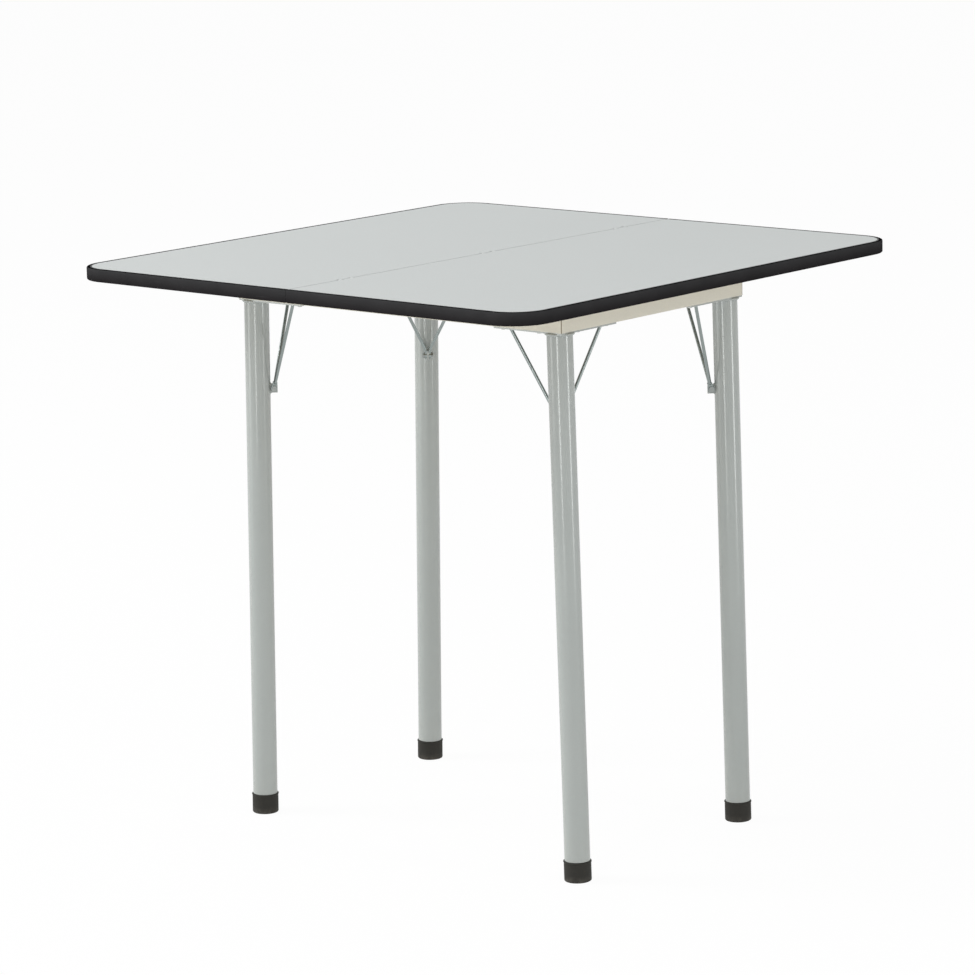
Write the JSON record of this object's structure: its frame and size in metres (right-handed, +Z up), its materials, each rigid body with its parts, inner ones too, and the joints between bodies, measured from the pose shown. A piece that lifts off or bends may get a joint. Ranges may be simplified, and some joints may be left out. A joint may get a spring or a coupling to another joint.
{
  "type": "fold-over table",
  "caption": "Nearly square fold-over table: grey laminate leaves joined by link hinges swivel on a narrow apron frame with splayed, braced tube legs on black rubber feet.",
  "frame": {"origin": "on the floor under the centre of the open top", "axes": "+X across the seam towards the leaf that turns on the base, +Y along the seam, +Z up"},
  "size_m": [0.735, 0.755, 0.74],
  "materials": {
    "grey_laminate": "smooth pale grey laminate",
    "black_edging": "satin black plastic edging",
    "particle_board": "raw particle board",
    "backing_sheet": "plain tan backing sheet",
    "plated_hinge_steel": "satin nickel-plated steel",
    "zinc_steel": "zinc-plated steel",
    "dark_bolt_steel": "dark plated steel",
    "nylon": "natural nylon",
    "rail_wood": "plain softwood",
    "beige_apron": "satin beige paint on board",
    "brace_steel": "bluish zinc-plated rod",
    "grey_paint": "satin silver-grey enamel",
    "black_rubber": "matte black rubber"
  },
  "bodies": {
    "base": {"pivot_bush": "nylon", "pivot_rail": "rail_wood", "front_apron": "beige_apron", "back_apron": "beige_apron", "left_apron": "beige_apron", "right_apron": "beige_apron", "corner_blocks": "rail_wood", "glide_pads": "nylon", "front_right_leg_tube": "grey_paint", "front_right_leg_plate": "grey_paint", "front_right_leg_foot": "black_rubber", "front_right_brace_lug": "grey_paint", "front_right_long_brace_rod": "brace_steel", "front_right_end_brace_rod": "brace_steel", "front_left_leg_tube": "grey_paint", "front_left_leg_plate": "grey_paint", "front_left_leg_foot": "black_rubber", "front_left_brace_lug": "grey_paint", "front_left_long_brace_rod": "brace_steel", "front_left_end_brace_rod": "brace_steel", "back_right_leg_tube": "grey_paint", "back_right_leg_plate": "grey_paint", "back_right_leg_foot": "black_rubber", "back_right_brace_lug": "grey_paint", "back_right_long_brace_rod": "brace_steel", "back_right_end_brace_rod": "brace_steel", "back_left_leg_tube": "grey_paint", "back_left_leg_plate": "grey_paint", "back_left_leg_foot": "black_rubber", "back_left_brace_lug": "grey_paint", "back_left_long_brace_rod": "brace_steel", "back_left_end_brace_rod": "brace_steel", "leg_plate_screws": "zinc_steel", "brace_bolts": "dark_bolt_steel", "brace_nuts": "dark_bolt_steel"},
    "swivel_leaf": {"right_leaf_core": "particle_board", "right_leaf_laminate": "grey_laminate", "right_leaf_backing": "backing_sheet", "right_leaf_edge_band": "black_edging", "right_leaf_seam_band": "grey_laminate", "right_hinge_plates": "plated_hinge_steel", "right_hinge_pins": "plated_hinge_steel", "right_hinge_screws": "zinc_steel", "swivel_plate": "zinc_steel", "swivel_plate_screws": "zinc_steel", "pivot_bolt": "zinc_steel", "pivot_nut": "zinc_steel", "pivot_washer": "zinc_steel", "stop_pin": "zinc_steel"},
    "hinge_link": {"hinge_links": "plated_hinge_steel"},
    "flip_leaf": {"left_leaf_core": "particle_board", "left_leaf_laminate": "grey_laminate", "left_leaf_backing": "backing_sheet", "left_leaf_edge_band": "black_edging", "left_leaf_seam_band": "grey_laminate", "left_hinge_plates": "plated_hinge_steel", "left_hinge_pins": "plated_hinge_steel", "left_hinge_screws": "zinc_steel"}
  },
  "joints": [
    {"name": "top_swivel", "type": "hinge", "parent": "base", "child": "swivel_leaf", "pos_m": [0.09187, -0.09187, 0.72], "axis": [0, 0, 1], "range_deg": [0, 90]},
    {"name": "link_fold", "type": "hinge", "parent": "swivel_leaf", "child": "hinge_link", "pos_m": [0.0022, 0, 0.738], "axis": [0, 1, 0], "range_deg": [0, 90]},
    {"name": "leaf_fold", "type": "hinge", "parent": "hinge_link", "child": "flip_leaf", "pos_m": [-0.0022, 0, 0.738], "axis": [0, 1, 0], "range_deg": [0, 90]}
  ]
}
